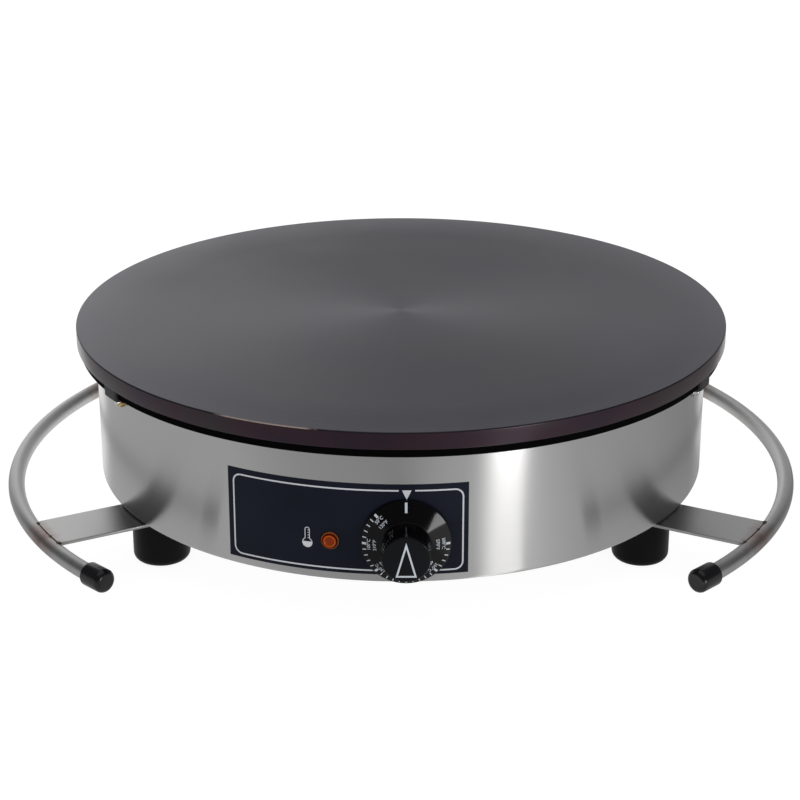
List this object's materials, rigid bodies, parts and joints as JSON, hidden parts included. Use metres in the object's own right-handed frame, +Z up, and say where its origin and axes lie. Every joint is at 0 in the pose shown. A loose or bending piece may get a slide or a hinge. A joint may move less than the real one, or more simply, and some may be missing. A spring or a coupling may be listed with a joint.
{
  "type": "electric crepe maker",
  "caption": "Round electric crepe maker: cast-iron hot plate on a brushed stainless ring casing with a thermostat knob, a pilot lamp, curved side handles and rubber feet.",
  "frame": {"origin": "on the floor, on the axis of the round plate and casing", "axes": "+Z up, -Y towards the user and the control panel, +X to the user's right, handles at both ends of X"},
  "size_m": [0.494, 0.4253, 0.1267],
  "materials": {
    "cast_iron": "machined top, seasoned matte, dark unmachined underside",
    "stainless": "brushed stainless sheet and tube",
    "zinc_steel": "zinc-plated steel",
    "aluminised_steel": "aluminised sheet",
    "element_sheath": "heat-darkened steel sheath",
    "brass": "plain turned brass",
    "copper": "drawn copper",
    "black_rubber": "moulded black rubber",
    "black_gloss": "moulded phenolic, polished",
    "panel_foil": "printed black foil with white lines",
    "black_nylon": "moulded black polyamide",
    "amber_lens": "translucent amber lens",
    "lamp_body": "dark orange polycarbonate",
    "ceramic": "unglazed steatite",
    "lead_sleeving": "glass-fibre sleeving over wire",
    "insulation": "pressed mineral fibre"
  },
  "bodies": {
    "housing": {"base_plate": "aluminised_steel", "bracket_screws": "zinc_steel", "bulb_clip": "zinc_steel", "bulb_clip_screw": "zinc_steel", "capillary_tube": "copper", "casing_ring": "stainless", "clamp_bars": "zinc_steel", "control_panel": "panel_foil", "cooking_plate": "cast_iron", "earth_lead": "lead_sleeving", "earth_nuts": "brass", "earth_stud": "brass", "element_insulators": "ceramic", "element_terminals": "brass", "end_cap_front_left": "black_rubber", "end_cap_front_right": "black_rubber", "end_cap_rear_left": "black_rubber", "end_cap_rear_right": "black_rubber", "foot_front_left": "black_rubber", "foot_front_right": "black_rubber", "foot_nuts": "zinc_steel", "foot_rear_left": "black_rubber", "foot_rear_right": "black_rubber", "foot_screws": "zinc_steel", "foot_washers": "zinc_steel", "gland_body": "black_nylon", "gland_dome_nut": "black_nylon", "gland_insert": "black_rubber", "gland_locknut": "black_nylon", "gland_seal": "black_rubber", "handle_strap_front_left": "stainless", "handle_strap_front_right": "stainless", "handle_strap_rear_left": "stainless", "handle_strap_rear_right": "stainless", "handle_tube_left": "stainless", "handle_tube_right": "stainless", "heating_element": "element_sheath", "insulation_disc": "insulation", "lamp_leads": "lead_sleeving", "lug_screws": "brass", "lug_washers": "zinc_steel", "pilot_lamp_body": "lamp_body", "pilot_lamp_lens": "amber_lens", "pilot_lamp_nut": "black_nylon", "plate_studs": "zinc_steel", "power_leads": "lead_sleeving", "reflector_pan": "aluminised_steel", "stud_nuts": "zinc_steel", "stud_washers": "zinc_steel", "terminal_block": "ceramic", "terminal_screws": "brass", "thermostat_base": "ceramic", "thermostat_bracket": "zinc_steel", "thermostat_bulb": "copper", "thermostat_cup": "zinc_steel", "thermostat_screws": "zinc_steel", "thermostat_tags": "brass"},
    "dial": {"knob": "black_gloss", "knob_spring": "zinc_steel", "thermostat_spindle": "zinc_steel"}
  },
  "joints": [
    {"name": "thermostat_turn", "type": "hinge", "parent": "housing", "child": "dial", "pos_m": [0.0028, -0.1893, 0.0577], "axis": [0, 1, 0], "range_deg": [0, 270]}
  ]
}
